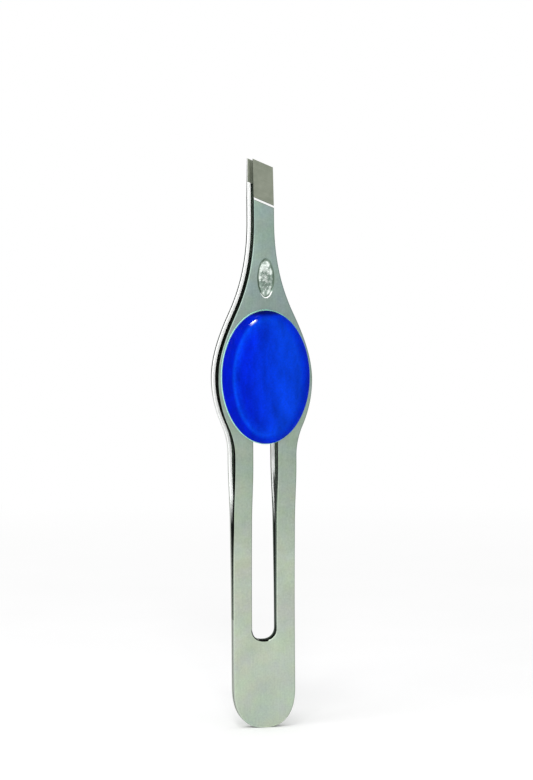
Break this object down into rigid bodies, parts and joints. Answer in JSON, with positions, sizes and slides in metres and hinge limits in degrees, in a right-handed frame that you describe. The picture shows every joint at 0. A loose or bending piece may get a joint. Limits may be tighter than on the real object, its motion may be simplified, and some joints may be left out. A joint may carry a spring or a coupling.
{
  "type": "slanted tweezers",
  "caption": "Spring tweezers of two slotted steel strips with an oval gel grip pad on each arm and slanted, bevel-ground tips.",
  "frame": {"origin": "middle of the bounding box at its bottom, which is the lowest point of the rounded butt, on the joint face between the two strips", "axes": "+Z from the butt to the slanted tips, +X across the strips towards the low corner of the tips, +Y from the front arm to the rear arm"},
  "size_m": [0.016, 0.0114, 0.0957],
  "materials": {
    "strip_steel": "satin, with a fine grain along the strip",
    "weld_steel": "as welded",
    "gel_pad": "glossy, slightly translucent blue gel",
    "pad_backing": "matt adhesive film"
  },
  "bodies": {
    "butt": {"front_heel": "strip_steel", "rear_heel": "strip_steel", "spot_weld_lower": "weld_steel", "spot_weld_upper": "weld_steel"},
    "front_arm": {"front_arm": "strip_steel", "front_pad_backing": "pad_backing", "front_gel_pad": "gel_pad"},
    "rear_arm": {"rear_arm": "strip_steel", "rear_pad_backing": "pad_backing", "rear_gel_pad": "gel_pad"}
  },
  "joints": [
    {"name": "front_arm_flex", "type": "hinge", "parent": "butt", "child": "front_arm", "pos_m": [0, -0.00118, 0.0334], "axis": [-1, 0, 0], "range_deg": [0, 1.88], "stiffness_Nm_per_rad": 1},
    {"name": "rear_arm_flex", "type": "hinge", "parent": "butt", "child": "rear_arm", "pos_m": [0, 0.00118, 0.0334], "axis": [1, 0, 0], "range_deg": [0, 1.88], "stiffness_Nm_per_rad": 1}
  ],
  "couplings": [
    {"joint": "rear_arm_flex", "follows": "front_arm_flex", "ratio": 1}
  ]
}
